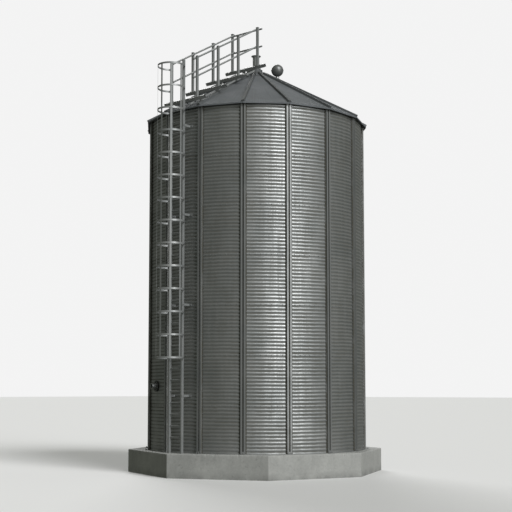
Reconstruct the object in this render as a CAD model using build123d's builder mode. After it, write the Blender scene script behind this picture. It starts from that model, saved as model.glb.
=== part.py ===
"""A round grain silo of corrugated steel on an octagonal concrete base.

The origin is the centre of the base at ground level and +Z points up. The
ladder stands on the -Y side. Azimuths are degrees from -Y towards +X, so the
ladder is at 0. Lengths are millimetres.
"""
import os
from math import acos, asin, atan, atan2, cos, degrees, radians, sin, sqrt, tan

from build123d import *

# Bays: one wall panel, one roof panel and one post for each
bay_count = 16
bay_angle = 360 / bay_count
half_bay = bay_angle / 2
ladder_azimuth = 0.0

# Concrete base
base_sides = 8
base_height = 630.0
base_margin = 280.0
base_edge_chamfer = 20.0

# Wall of corrugated sheet, drawn as the band that the waves fill
wall_radius = 3060.0
wave_depth = 16.0
panel_gap = 3.0
wall_height = 9235.0

# Base ring: a many-sided ring of plate under the wall's foot
base_ring_thickness = 8.0
base_ring_outer_reach = 50.0
base_ring_inner_reach = 50.0
base_ring_sides = 3 * bay_count

# Posts: rolled with two ridges and a groove between them
post_ridge_width = 44.0
post_groove_width = 40.0
post_side_slope_width = 8.0
post_flange_width = 22.0
post_depth = 52.0
post_groove_depth = 40.0
post_sheet = 4.0
post_top_gap = 12.0

# Anchor shoes at the feet of the posts
shoe_width = 130.0
shoe_foot_thickness = 8.0
shoe_foot_length = 70.0
shoe_back_height = 70.0
shoe_back_thickness = 6.0

# Roof: sixteen flat panels, with a rib over each joint
roof_pitch = 29.0
eave_overhang = 128.0
roof_sheet = 5.0
roof_joint_gap = 8.0
eave_lip_height = 38.0
eave_lip_thickness = 4.0
roof_opening_radius = 240.0

# Roof ribs
rib_width = 96.0
rib_top_width = 62.0
rib_height = 52.0
rib_sheet = 4.0
rib_top_radius = 340.0
rib_foot_setback = 6.0

# Peak cap and filling spout
peak_cap_radius = 325.0
peak_cap_skirt = 22.0
peak_cap_sheet = 6.0
peak_collar_radius = 190.0
peak_collar_height = 60.0
spout_radius = 96.0
spout_wall = 5.0
spout_height = 430.0
spout_inner_length = 40.0
spout_flange_radius = 140.0
spout_flange_thickness = 10.0
spout_bolt_circle = 236.0
spout_bolt_count = 8
spout_bolt_hole_radius = 7.0
lug_width = 50.0
lug_height = 70.0
lug_thickness = 10.0
lug_distance = 150.0
lug_hole_radius = 12.5

# Ball vent beside the peak
vent_azimuth = 112.5
vent_distance = 650.0
vent_ball_radius = 180.0
vent_leg_radius = 12.0
vent_leg_circle = 45.0
vent_leg_count = 3
vent_ball_clear_height = 110.0
vent_base_radius = 68.0
vent_base_thickness = 6.0
vent_base_sides = 12
vent_leg_sides = 6
vent_ball_bands = 4
vent_ball_pole_angle = 12.0

# Ladder
ladder_standoff = 220.0
ladder_width = 450.0
rail_depth = 80.0
rail_thickness = 40.0
ladder_top_above_eave = 1240.0
rung_radius = 15.0
rung_sides = 6
rung_pitch = 300.0
first_rung_above_base = 420.0
bracket_pitch = 2400.0
first_bracket_above_base = 1470.0
bracket_count = 4
bracket_height = 60.0
bracket_thickness = 8.0
bracket_pad = 90.0

# Ladder cage
cage_radius = 365.0
cage_centre_reach = 240.0
cage_strip_width = 50.0
cage_strip_thickness = 5.0
cage_strip_count = 5
cage_strip_spread = 180.0
hoop_height = 50.0
hoop_thickness = 6.0
hoop_pitch = 600.0
hoop_count = 14
first_hoop_above_base = 2470.0
hoop_front_half_angle = 45.0
hoop_joint_gap = 1.0
hoop_flat_angle = 12.0

# Roof stair over the ladder's bay
stair_half_width = 360.0
stringer_depth = 45.0
stringer_thickness = 6.0
stair_bottom_radius = 3120.0
stair_top_radius = 440.0
tread_depth = 76.0
tread_lip = 16.0
tread_sheet = 4.0
tread_drop = 2.0
tread_count = 9
first_tread_radius = 2880.0
last_tread_radius = 640.0
bearer_radii = (3020.0, 2180.0, 1340.0, 500.0)
bearer_half_length = 740.0
bearer_width = 70.0
bearer_height = 90.0
bearer_sheet = 5.0
bearer_foot_length = 60.0

# Handrails of the roof stair
handrail_post_x = 475.0
handrail_post_size = 60.0
handrail_post_wall = 4.0
handrail_cap_size = 76.0
handrail_cap_thickness = 6.0
handrail_height = 1330.0
handrail_radius = 24.0
handrail_top_drop = 50.0
handrail_knee_drop = 560.0
handrail_end_overhang = 90.0

# Outlet port low on the wall
port_azimuth = -22.5
port_height = 2390.0
port_tube_radius = 70.0
port_tube_wall = 5.0
port_flange_radius = 150.0
port_flange_thickness = 26.0
port_stub_length = 150.0
port_inner_length = 60.0
port_rim_radius = 86.0
port_rim_thickness = 8.0
port_ring_inset = 10.0

# Play between pieces that seat on each other
seat_clearance = 0.3

# Heights and radii worked out from the values above
half_bay_cos = cos(radians(half_bay))
base_corner_radius = (wall_radius + base_margin) / cos(radians(180 / base_sides))
wall_inner_radius = wall_radius - wave_depth
wall_bottom = base_height + base_ring_thickness
wall_top = wall_bottom + wall_height
eave_corner_radius = wall_radius + eave_overhang
pitch_tan = tan(radians(roof_pitch))
facet_pitch = degrees(atan(pitch_tan / half_bay_cos))
sheet_drop = roof_sheet / cos(radians(facet_pitch))
eave_z = wall_top + sheet_drop - (eave_corner_radius - wall_radius / half_bay_cos) * pitch_tan
post_z_top = wall_top - post_top_gap
peak_z = eave_z + eave_corner_radius * pitch_tan
rib_tilt = acos(
    sin(radians(facet_pitch)) * sin(radians(roof_pitch)) * half_bay_cos
    + cos(radians(facet_pitch)) * cos(radians(roof_pitch))
)
ladder_radius = wall_radius + ladder_standoff
ladder_top = wall_top + ladder_top_above_eave
bay_azimuths = [bay_angle * k for k in range(bay_count)]


def polar(azimuth):
    """The angle from +X, for PolarLocations and CenterArc."""
    return azimuth - 90


def outward(azimuth, radius, z):
    """A point at an azimuth, a distance from the axis and a height."""
    angle = radians(polar(azimuth))
    return Vector(radius * cos(angle), radius * sin(angle), z)


def roof_z(radius):
    """The height of the roof's top face at the middle of a bay."""
    return eave_z + (eave_corner_radius - radius / half_bay_cos) * pitch_tan


def corner_z(radius):
    """The height of the roof's top face on a joint between two panels."""
    return eave_z + (eave_corner_radius - radius) * pitch_tan


def keep(part, name):
    """Labels a piece and writes it to its own file."""
    part.label = name
    export_step(part, f"parts/{name}.step")


os.makedirs("parts", exist_ok=True)

# Concrete base: an octagon with a corner under the ladder
with BuildPart() as concrete_base:
    with BuildSketch():
        RegularPolygon(base_corner_radius, base_sides, rotation=polar(ladder_azimuth))
    extrude(amount=base_height)
    top_edges = concrete_base.faces().sort_by(Axis.Z)[-1].edges()
    upright_edges = concrete_base.edges().filter_by(Axis.Z)
    chamfer(top_edges + upright_edges, base_edge_chamfer)
keep(concrete_base.part, "concrete_base")

# Base ring: straight lengths of plate under the wall's foot
with BuildPart() as base_ring:
    with BuildSketch(Plane.XY.offset(base_height)):
        RegularPolygon(wall_radius + base_ring_outer_reach, base_ring_sides)
        RegularPolygon(
            wall_inner_radius - base_ring_inner_reach, base_ring_sides, mode=Mode.SUBTRACT
        )
    extrude(amount=base_ring_thickness)
keep(base_ring.part, "base_ring")

# Wall: one curved panel for each bay
panel_half_angle = half_bay - degrees(panel_gap / 2 / wall_radius)


def wall_panel(azimuth):
    """A curved panel that fills one bay of the wall."""
    start = polar(azimuth) - panel_half_angle
    with BuildPart() as panel:
        with BuildSketch(Plane.XY.offset(wall_bottom)):
            with BuildLine():
                outer = CenterArc((0, 0), wall_radius, start, 2 * panel_half_angle)
                inner = CenterArc((0, 0), wall_inner_radius, start, 2 * panel_half_angle)
                Line(outer @ 0, inner @ 0)
                Line(outer @ 1, inner @ 1)
            make_face()
        extrude(amount=wall_height)
        if azimuth == port_azimuth % 360:
            with BuildSketch(port_plane):
                Circle(port_tube_radius + seat_clearance)
            extrude(amount=port_flange_radius, both=True, mode=Mode.SUBTRACT)
    return panel.part


# The port's plane touches the wall, and its normal points outward
port_direction = outward(port_azimuth, 1, 0)
port_plane = Plane(
    origin=outward(port_azimuth, wall_radius, port_height),
    x_dir=Vector(0, 0, 1),
    z_dir=port_direction,
)
for bay, azimuth in enumerate(bay_azimuths, start=1):
    keep(wall_panel(azimuth), f"wall_panel_{bay:02d}")

# Posts: a folded strip with two ridges, on the wall at each joint
ridge_start = post_groove_width / 2
ridge_end = ridge_start + post_ridge_width
foot_start = ridge_end + post_side_slope_width
foot_end = foot_start + post_flange_width
post_seat = wall_radius + seat_clearance
post_face = post_seat + post_depth
half_profile = [
    (post_face - post_groove_depth, ridge_start - post_side_slope_width),
    (post_face, ridge_start),
    (post_face, ridge_end),
    (post_seat + post_sheet, foot_start),
    (post_seat + post_sheet, foot_end),
]
mirrored_profile = [(x, -y) for x, y in reversed(half_profile)]

with BuildPart() as stiffener_posts:
    with BuildSketch(Plane.XY.offset(wall_bottom)):
        with PolarLocations(0, bay_count, start_angle=polar(half_bay)):
            with BuildSketch(mode=Mode.PRIVATE) as post_profile:
                with BuildLine():
                    Polyline(*mirrored_profile, *half_profile)
                    offset(amount=post_sheet, side=Side.LEFT, kind=Kind.INTERSECTION)
                make_face()
            add(post_profile.sketch)
    extrude(amount=post_z_top - wall_bottom)
keep(stiffener_posts.part, "stiffener_posts")

# Anchor shoes: angles in front of the posts, down on the concrete
shoe_back_start = post_face + seat_clearance
shoe_back_end = shoe_back_start + shoe_back_thickness
with BuildPart() as shoe:
    with BuildSketch(Plane.XZ):
        with BuildLine():
            Polyline(
                (shoe_back_start, base_height),
                (shoe_back_end + shoe_foot_length, base_height),
                (shoe_back_end + shoe_foot_length, base_height + shoe_foot_thickness),
                (shoe_back_end, base_height + shoe_foot_thickness),
                (shoe_back_end, base_height + shoe_back_height),
                (shoe_back_start, base_height + shoe_back_height),
                close=True,
            )
        make_face()
    extrude(amount=shoe_width / 2, both=True)
with BuildPart() as anchor_shoes:
    with PolarLocations(0, bay_count, start_angle=polar(half_bay)):
        add(shoe.part)
keep(anchor_shoes.part, "anchor_shoes")


def roof_pyramid(drop, lowest_radius, highest_radius):
    """A solid under the roof's slopes, lowered by a drop."""
    with BuildPart() as pyramid:
        with BuildSketch(Plane.XY.offset(corner_z(lowest_radius) - drop)):
            RegularPolygon(lowest_radius, bay_count, rotation=half_bay)
        extrude(amount=corner_z(highest_radius) - corner_z(lowest_radius), taper=90 - facet_pitch)
    return pyramid.part


# Roof: a sixteen-sided pyramid of sheet, cut along its joints
pyramid_top_radius = roof_opening_radius / 2
with BuildPart() as roof:
    add(roof_pyramid(0, eave_corner_radius, pyramid_top_radius))
    add(
        roof_pyramid(sheet_drop, eave_corner_radius + eave_overhang, pyramid_top_radius),
        mode=Mode.SUBTRACT,
    )
    with BuildSketch(Plane.XY.offset(eave_z - eave_lip_height)):
        RegularPolygon(eave_corner_radius, bay_count, rotation=half_bay)
        offset(amount=-eave_lip_thickness, kind=Kind.INTERSECTION, mode=Mode.SUBTRACT)
    extrude(amount=eave_lip_height)
    with BuildSketch(Plane.XY.offset(eave_z - eave_lip_height)):
        RegularPolygon(roof_opening_radius, bay_count, rotation=half_bay)
        with PolarLocations(0, bay_count, start_angle=polar(half_bay)):
            Rectangle(eave_corner_radius + 1, roof_joint_gap, align=(Align.MIN, Align.CENTER))
    extrude(amount=peak_z - eave_z + eave_lip_height, mode=Mode.SUBTRACT)


def azimuth_of(solid):
    """The azimuth of a solid's centre, from 0 to 360."""
    centre = solid.center()
    return (degrees(atan2(centre.Y, centre.X)) + 90 + half_bay / 2) % 360


roof_quarters = ("roof_front_right", "roof_back_right", "roof_back_left", "roof_front_left")
quarter_size = bay_count // len(roof_quarters)
roof_panels = sorted(roof.part.solids(), key=azimuth_of)
for quarter, name in enumerate(roof_quarters):
    with BuildPart() as roof_quarter:
        add(roof_panels[quarter * quarter_size : (quarter + 1) * quarter_size])
    keep(roof_quarter.part, name)

# Roof ribs: folded caps over the joints, closed at the eave
rib_lowest_radius = eave_corner_radius - rib_foot_setback
rib_run = rib_lowest_radius - rib_top_radius
rib_length = rib_run / cos(radians(roof_pitch))
rib_inner_half_width = rib_width / 2 - rib_sheet
rib_leg_drop = rib_inner_half_width * tan(rib_tilt) - seat_clearance
rib_foot = Plane(
    origin=(rib_lowest_radius, 0, corner_z(rib_lowest_radius)),
    x_dir=(0, -1, 0),
    z_dir=(-cos(radians(roof_pitch)), 0, sin(radians(roof_pitch))),
)
with BuildPart() as rib:
    with BuildSketch(rib_foot):
        with BuildLine():
            Polyline(
                (-rib_width / 2, -rib_leg_drop),
                (-rib_top_width / 2, rib_height),
                (rib_top_width / 2, rib_height),
                (rib_width / 2, -rib_leg_drop),
                (0, seat_clearance),
                close=True,
            )
        make_face()
    extrude(amount=rib_length)
    with BuildSketch(rib_foot.offset(rib_sheet)):
        with BuildLine():
            Polyline(
                (-rib_inner_half_width, -rib_leg_drop),
                (-rib_top_width / 2 + rib_sheet, rib_height - rib_sheet),
                (rib_top_width / 2 - rib_sheet, rib_height - rib_sheet),
                (rib_inner_half_width, -rib_leg_drop),
                close=True,
            )
        make_face()
    extrude(amount=rib_length, mode=Mode.SUBTRACT)
with BuildPart() as roof_ribs:
    with PolarLocations(0, bay_count, start_angle=polar(half_bay)):
        add(rib.part)
keep(roof_ribs.part, "roof_ribs")

# Peak cap: a shallow hollow pyramid over the panels' tops, with a round collar
cap_inner_radius = peak_cap_radius - peak_cap_sheet
cap_foot_z = corner_z(cap_inner_radius) + seat_clearance
cap_slope_z = cap_foot_z + peak_cap_skirt
cap_hollow_lift = (
    peak_cap_skirt
    + seat_clearance
    + peak_cap_sheet * pitch_tan
    - peak_cap_sheet / cos(radians(facet_pitch))
)
collar_rim_z = cap_slope_z + (peak_cap_radius - peak_collar_radius) * pitch_tan
collar_top_z = collar_rim_z + peak_collar_height
spout_hole_radius = spout_radius + seat_clearance
with BuildPart() as peak_cap:
    with BuildSketch(Plane.XY.offset(cap_foot_z)):
        RegularPolygon(peak_cap_radius, bay_count, rotation=half_bay)
    extrude(amount=peak_cap_skirt)
    with BuildSketch(Plane.XY.offset(cap_slope_z)):
        RegularPolygon(peak_cap_radius, bay_count, rotation=half_bay)
    extrude(amount=collar_rim_z - cap_slope_z, taper=90 - facet_pitch)
    with BuildSketch(Plane.XY.offset(cap_slope_z)):
        Circle(peak_collar_radius)
    extrude(amount=collar_top_z - cap_slope_z)
    with BuildSketch(Plane.XY.offset(cap_foot_z)):
        RegularPolygon(cap_inner_radius, bay_count, rotation=half_bay)
    extrude(amount=cap_hollow_lift - seat_clearance, mode=Mode.SUBTRACT)
    add(roof_pyramid(-cap_hollow_lift, cap_inner_radius, pyramid_top_radius), mode=Mode.SUBTRACT)
    with BuildSketch(Plane.XY.offset(cap_foot_z)):
        Circle(peak_collar_radius - peak_cap_sheet)
    extrude(amount=collar_top_z - peak_cap_sheet - cap_foot_z, mode=Mode.SUBTRACT)
    with BuildSketch(Plane.XY.offset(cap_foot_z)):
        Circle(spout_hole_radius)
    extrude(amount=collar_top_z - cap_foot_z, mode=Mode.SUBTRACT)
keep(peak_cap.part, "peak_cap")

# Filling spout: an upright tube with a flange on top
spout_top_z = collar_top_z + spout_height
with BuildPart() as filling_spout:
    with BuildSketch(Plane.XY.offset(collar_top_z - spout_inner_length)):
        Circle(spout_radius)
        Circle(spout_radius - spout_wall, mode=Mode.SUBTRACT)
    extrude(amount=spout_height + spout_inner_length)
    with BuildSketch(Plane.XY.offset(spout_top_z - spout_flange_thickness)):
        Circle(spout_flange_radius)
        Circle(spout_radius - spout_wall, mode=Mode.SUBTRACT)
        with PolarLocations(spout_bolt_circle / 2, spout_bolt_count):
            Circle(spout_bolt_hole_radius, mode=Mode.SUBTRACT)
    extrude(amount=spout_flange_thickness)
keep(filling_spout.part, "filling_spout")

# Lifting lugs on the collar
with BuildPart() as lifting_lugs:
    with BuildSketch(Plane.XZ):
        for side in (-1, 1):
            with Locations((side * lug_distance, collar_top_z)):
                Rectangle(lug_width, lug_height, align=(Align.CENTER, Align.MIN))
            with Locations((side * lug_distance, collar_top_z + lug_height - lug_width / 2)):
                Circle(lug_hole_radius, mode=Mode.SUBTRACT)
    extrude(amount=lug_thickness / 2, both=True)
keep(lifting_lugs.part, "lifting_lugs")

# Ball vent: a banded ball on three legs, over a plate on the slope
vent_facet_z = roof_z(vent_distance)
vent_base_plane = Plane(
    origin=outward(vent_azimuth, vent_distance, vent_facet_z),
    x_dir=outward(vent_azimuth + 90, 1, 0),
    z_dir=outward(vent_azimuth, sin(radians(facet_pitch)), cos(radians(facet_pitch))),
)
vent_ball_z = vent_facet_z + vent_base_thickness + vent_ball_clear_height + vent_ball_radius
vent_centre = outward(vent_azimuth, vent_distance, vent_ball_z)
with BuildPart() as vent_base:
    with BuildSketch(vent_base_plane):
        RegularPolygon(vent_base_radius, vent_base_sides)
    extrude(amount=vent_base_thickness)
keep(vent_base.part, "vent_base")
ball_step = (90 - vent_ball_pole_angle) / vent_ball_bands
ball_latitudes = [radians(ball_step * band) for band in range(vent_ball_bands + 1)]


def banded_ball(radius):
    """A ball of flat-sided bands above and below the vent's centre, flat at its poles."""
    with BuildPart() as ball:
        for low, high in zip(ball_latitudes, ball_latitudes[1:]):
            band_height = radius * (sin(high) - sin(low))
            lean = (cos(low) - cos(high)) * radius * half_bay_cos / band_height
            with BuildSketch(Plane(origin=vent_centre + Vector(0, 0, radius * sin(low)))):
                RegularPolygon(radius * cos(low), bay_count, rotation=half_bay)
            extrude(amount=band_height, taper=degrees(atan(lean)))
        mirror(about=Plane(origin=vent_centre))
    return ball.part


keep(banded_ball(vent_ball_radius), "vent_ball")
with BuildPart() as vent_legs:
    with BuildSketch(Plane(origin=vent_centre)):
        with PolarLocations(vent_leg_circle, vent_leg_count, start_angle=polar(vent_azimuth)):
            RegularPolygon(vent_leg_radius, vent_leg_sides)
    extrude(amount=-2 * vent_ball_radius)
    split(bisect_by=vent_base_plane.offset(vent_base_thickness), keep=Keep.TOP)
    add(banded_ball(vent_ball_radius + seat_clearance), mode=Mode.SUBTRACT)
keep(vent_legs.part, "vent_legs")

# Ladder: two rails down to the concrete, with rungs between them
rail_inner_x = ladder_width / 2 - rail_thickness / 2
rail_outer_x = ladder_width / 2 + rail_thickness / 2
with BuildPart() as ladder_rails:
    with BuildSketch(Plane.XY.offset(base_height)):
        with Locations((-ladder_width / 2, -ladder_radius), (ladder_width / 2, -ladder_radius)):
            Rectangle(rail_thickness, rail_depth)
    extrude(amount=ladder_top - base_height)
keep(ladder_rails.part, "ladder_rails")
first_rung_z = base_height + first_rung_above_base
rung_count = int((wall_top - first_rung_z) // rung_pitch) + 1
with BuildPart() as ladder_rungs:
    with BuildSketch(Plane.YZ):
        for step in range(rung_count):
            with Locations((-ladder_radius, first_rung_z + step * rung_pitch)):
                RegularPolygon(rung_radius, rung_sides)
    extrude(amount=rail_inner_x, both=True)
keep(ladder_rungs.part, "ladder_rungs")

# Brackets: flat bars from the rails to pads on the wall
pad_start = wall_radius + seat_clearance
first_bracket_z = base_height + first_bracket_above_base
pad_end_x = rail_outer_x + bracket_thickness + bracket_pad
with BuildPart() as ladder_brackets:
    for step in range(bracket_count):
        with BuildSketch(Plane.XY.offset(first_bracket_z + step * bracket_pitch)):
            with Locations((rail_outer_x, -ladder_radius - rail_depth / 2)):
                Rectangle(
                    bracket_thickness,
                    rail_depth + ladder_standoff,
                    align=(Align.MIN, Align.MIN),
                )
            with BuildSketch(mode=Mode.PRIVATE) as pad:
                Circle(pad_start + bracket_thickness)
                with Locations((rail_outer_x, -pad_start - bracket_thickness)):
                    Rectangle(
                        bracket_thickness + bracket_pad,
                        pad_start,
                        align=(Align.MIN, Align.MIN),
                        mode=Mode.INTERSECT,
                    )
            add(pad.sketch)
            Circle(pad_start, mode=Mode.SUBTRACT)
        extrude(amount=bracket_height)
    mirror(about=Plane.YZ)
keep(ladder_brackets.part, "ladder_brackets")

# Cage hoops: flat bars round the climber, in three lengths
cage_centre = ladder_radius + cage_centre_reach
hoop_outer_radius = cage_radius + hoop_thickness
arm_end_x = sqrt(hoop_outer_radius**2 - cage_centre_reach**2)
hoop_heights = [base_height + first_hoop_above_base + hoop_pitch * k for k in range(hoop_count)]


def hoop_side(radius, start, sweep):
    """The corners of one side of a hoop's length, which is bent in short flats."""
    flats = round(sweep / hoop_flat_angle)
    angles = [radians(start + sweep * k / flats) for k in range(flats + 1)]
    return [(radius * cos(a), radius * sin(a) - cage_centre) for a in angles]


def hoop_length(start, sweep, arm_side):
    """One length of every hoop, with an arm to the rail on one side."""
    outer_corners = hoop_side(hoop_outer_radius, start, sweep)
    inner_corners = hoop_side(cage_radius, start, sweep)
    with BuildPart() as length:
        for height in hoop_heights:
            with BuildSketch(Plane.XY.offset(height)):
                with BuildLine():
                    Polyline(*outer_corners, *reversed(inner_corners), close=True)
                make_face()
                if arm_side != 0:
                    arm_length = arm_end_x - rail_outer_x
                    with Locations((arm_side * (rail_outer_x + arm_length / 2), -ladder_radius)):
                        Rectangle(arm_length, hoop_thickness)
            extrude(amount=hoop_height)
    return length.part


front_sweep = 2 * hoop_front_half_angle
joint_sweep = degrees(hoop_joint_gap / cage_radius)
side_sweep = 90 - hoop_front_half_angle + degrees(asin(cage_centre_reach / hoop_outer_radius))
front_start = polar(ladder_azimuth) - hoop_front_half_angle
hoops_front = hoop_length(front_start + joint_sweep / 2, front_sweep - joint_sweep, 0)
hoops_right = hoop_length(front_start + front_sweep + joint_sweep / 2, side_sweep, 1)
hoops_left = hoop_length(front_start - joint_sweep / 2 - side_sweep, side_sweep, -1)
keep(hoops_front, "cage_hoops_front")
keep(hoops_right, "cage_hoops_right")
keep(hoops_left, "cage_hoops_left")

# Cage strips: upright flat bars inside the hoops
strip_corner_radius = cage_radius * cos(radians(hoop_flat_angle / 2)) - seat_clearance
strip_face = sqrt(strip_corner_radius**2 - (cage_strip_width / 2) ** 2)
strip_radius = strip_face - cage_strip_thickness / 2
with BuildPart() as cage_strips:
    with BuildSketch(Plane.XY.offset(hoop_heights[0])):
        with Locations((0, -cage_centre)):
            with PolarLocations(
                strip_radius,
                cage_strip_count,
                start_angle=polar(ladder_azimuth) - cage_strip_spread / 2,
                angular_range=cage_strip_spread,
                endpoint=True,
            ):
                Rectangle(cage_strip_thickness, cage_strip_width)
    extrude(amount=hoop_heights[-1] + hoop_height - hoop_heights[0])
keep(cage_strips.part, "cage_strips")

# Roof stair: drawn on the slope of the ladder's bay, with local Y uphill
facet_sin = sin(radians(facet_pitch))
facet_cos = cos(radians(facet_pitch))
slope_plane = Plane(origin=(0, 0, peak_z), x_dir=(1, 0, 0), z_dir=(0, -facet_sin, facet_cos))
bearer_seat = rib_height * cos(rib_tilt) + rib_top_width / 2 * sin(rib_tilt) + seat_clearance
stringer_top = bearer_seat + stringer_depth
bearer_bottom = stringer_top + seat_clearance
bearer_top = bearer_bottom + bearer_height
stringer_inner_x = stair_half_width - stringer_thickness / 2


def uphill(radius, rise=0):
    """The slope plane's local Y of a point at a radius and a rise off the slope."""
    return (rise * facet_sin - radius) / facet_cos


# Bearers: channels on feet that stand on the ribs, open side down
side_plane = Plane(
    origin=slope_plane.origin,
    x_dir=slope_plane.y_dir,
    z_dir=slope_plane.x_dir,
)
with BuildPart() as stair_bearers:
    with BuildSketch(side_plane):
        for radius in bearer_radii:
            with Locations((uphill(radius, bearer_top), bearer_bottom)):
                Rectangle(bearer_width, bearer_height, align=(Align.CENTER, Align.MIN))
                Rectangle(
                    bearer_width - 2 * bearer_sheet,
                    bearer_height - bearer_sheet,
                    align=(Align.CENTER, Align.MIN),
                    mode=Mode.SUBTRACT,
                )
    extrude(amount=bearer_half_length, both=True)
    with BuildSketch(slope_plane.offset(bearer_seat)):
        for radius in bearer_radii:
            foot_y = uphill(radius, bearer_top)
            foot_x = -foot_y * facet_cos * tan(radians(half_bay))
            with Locations((-foot_x, foot_y), (foot_x, foot_y)):
                Rectangle(bearer_foot_length, bearer_width)
    extrude(amount=bearer_bottom - bearer_seat)
keep(stair_bearers.part, "stair_bearers")

# Stringers: two bars on edge along the slope, hung under the bearers
stringer_length = uphill(stair_top_radius) - uphill(stair_bottom_radius)
with BuildPart() as stair_stringers:
    with BuildSketch(slope_plane.offset(bearer_seat)):
        for side in (-1, 1):
            with Locations((side * stair_half_width, uphill(stair_bottom_radius))):
                Rectangle(stringer_thickness, stringer_length, align=(Align.CENTER, Align.MIN))
    extrude(amount=stringer_depth)
keep(stair_stringers.part, "stair_stringers")

# Treads: level folded plates between the stringers
tread_pitch = (first_tread_radius - last_tread_radius) / (tread_count - 1)
with BuildPart() as stair_treads:
    with BuildSketch(Plane.YZ):
        for step in range(tread_count):
            front_radius = first_tread_radius - step * tread_pitch + tread_depth / 2
            tread_z = roof_z(front_radius) + stringer_top / facet_cos - tread_drop
            with Locations((-front_radius, tread_z)):
                Rectangle(tread_depth, tread_lip, align=(Align.MIN, Align.MAX))
            with Locations((-front_radius + tread_sheet, tread_z - tread_sheet)):
                Rectangle(
                    tread_depth - tread_sheet,
                    tread_lip,
                    align=(Align.MIN, Align.MAX),
                    mode=Mode.SUBTRACT,
                )
    extrude(amount=stringer_inner_x, both=True)
keep(stair_treads.part, "stair_treads")

# Handrail posts: capped square tubes, one pair on each bearer
half_post = handrail_post_size / 2
with BuildPart() as handrail_posts:
    for radius in bearer_radii:
        post_top_z = roof_z(radius) + handrail_height
        with BuildSketch(Plane.XY.offset(post_top_z - handrail_cap_thickness)):
            with Locations((handrail_post_x, -radius)):
                Rectangle(handrail_post_size, handrail_post_size)
                Rectangle(
                    handrail_post_size - 2 * handrail_post_wall,
                    handrail_post_size - 2 * handrail_post_wall,
                    mode=Mode.SUBTRACT,
                )
        extrude(amount=-handrail_height)
    split(bisect_by=slope_plane.offset(bearer_top + seat_clearance), keep=Keep.TOP)
    for radius in bearer_radii:
        post_top_z = roof_z(radius) + handrail_height
        with BuildSketch(Plane.XY.offset(post_top_z - handrail_cap_thickness)):
            with Locations((handrail_post_x, -radius)):
                Rectangle(handrail_cap_size, handrail_cap_size)
        extrude(amount=handrail_cap_thickness)
    mirror(about=Plane.YZ)
keep(handrail_posts.part, "handrail_posts")

# Handrails: a top rail and a knee rail on the inner side of each post row
rail_x = handrail_post_x - half_post - handrail_radius - seat_clearance
last_radius = bearer_radii[-1]
rail_drops = (handrail_top_drop, handrail_knee_drop)
rail_end_radius = last_radius - half_post + handrail_radius * facet_sin + seat_clearance
rail_start_radius = bearer_radii[0] + handrail_end_overhang
rail_run_length = uphill(rail_end_radius) - uphill(rail_start_radius)


def handrail_side(side):
    """The top rail and the knee rail of one side."""
    with BuildPart() as rails:
        for drop in rail_drops:
            start_height = roof_z(rail_start_radius) + handrail_height - drop
            start = Plane(
                origin=(side * rail_x, -rail_start_radius, start_height),
                x_dir=(1, 0, 0),
                z_dir=slope_plane.y_dir,
            )
            with BuildSketch(start):
                Circle(handrail_radius)
            extrude(amount=rail_run_length)
    return rails.part


keep(handrail_side(-1), "handrails_left")
keep(handrail_side(1), "handrails_right")

# End rails: level tubes that close the stair at the peak
end_rail_y = -last_radius + half_post + handrail_radius + seat_clearance
end_rail_reach = handrail_post_x + half_post + handrail_end_overhang
with BuildPart() as end_rails:
    with BuildSketch(Plane.YZ):
        for drop in rail_drops:
            with Locations((end_rail_y, roof_z(last_radius) + handrail_height - drop)):
                Circle(handrail_radius)
    extrude(amount=end_rail_reach, both=True)
keep(end_rails.part, "end_rails")

# Outlet port: a thick ring shaped to the wall, with a tube through it
port_cut_height = 4 * port_flange_radius
with BuildPart() as port_flange:
    with BuildSketch(port_plane.offset(-port_ring_inset)):
        Circle(port_flange_radius)
        Circle(port_tube_radius + seat_clearance, mode=Mode.SUBTRACT)
    extrude(amount=port_ring_inset + port_flange_thickness)
    with BuildSketch(Plane.XY.offset(port_height - port_cut_height / 2)):
        Circle(wall_radius + seat_clearance)
    extrude(amount=port_cut_height, mode=Mode.SUBTRACT)
keep(port_flange.part, "port_flange")
with BuildPart() as port_tube:
    with BuildSketch(port_plane.offset(-wave_depth - port_inner_length)):
        Circle(port_tube_radius)
        Circle(port_tube_radius - port_tube_wall, mode=Mode.SUBTRACT)
    extrude(amount=port_inner_length + wave_depth + port_stub_length)
    with BuildSketch(port_plane.offset(port_stub_length - port_rim_thickness)):
        Circle(port_rim_radius)
        Circle(port_tube_radius - port_tube_wall, mode=Mode.SUBTRACT)
    extrude(amount=port_rim_thickness)
keep(port_tube.part, "port_tube")
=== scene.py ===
"""The looks of a round grain silo, laid out as an add-on around its fixed frame.

Lengths are metres and +Z is up. The origin is the centre of the base at ground level, and the ladder
stands on the -Y side. Azimuths are degrees from -Y towards +X.
"""
from math import asin, atan, ceil, cos, degrees, hypot, pi, radians, sin, tan

import bpy
from bpy.props import FloatProperty, FloatVectorProperty, IntProperty, PointerProperty
from bpy.types import NodeSocket, Operator, Panel, PropertyGroup
from mathutils import Matrix, Vector, noise


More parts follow.
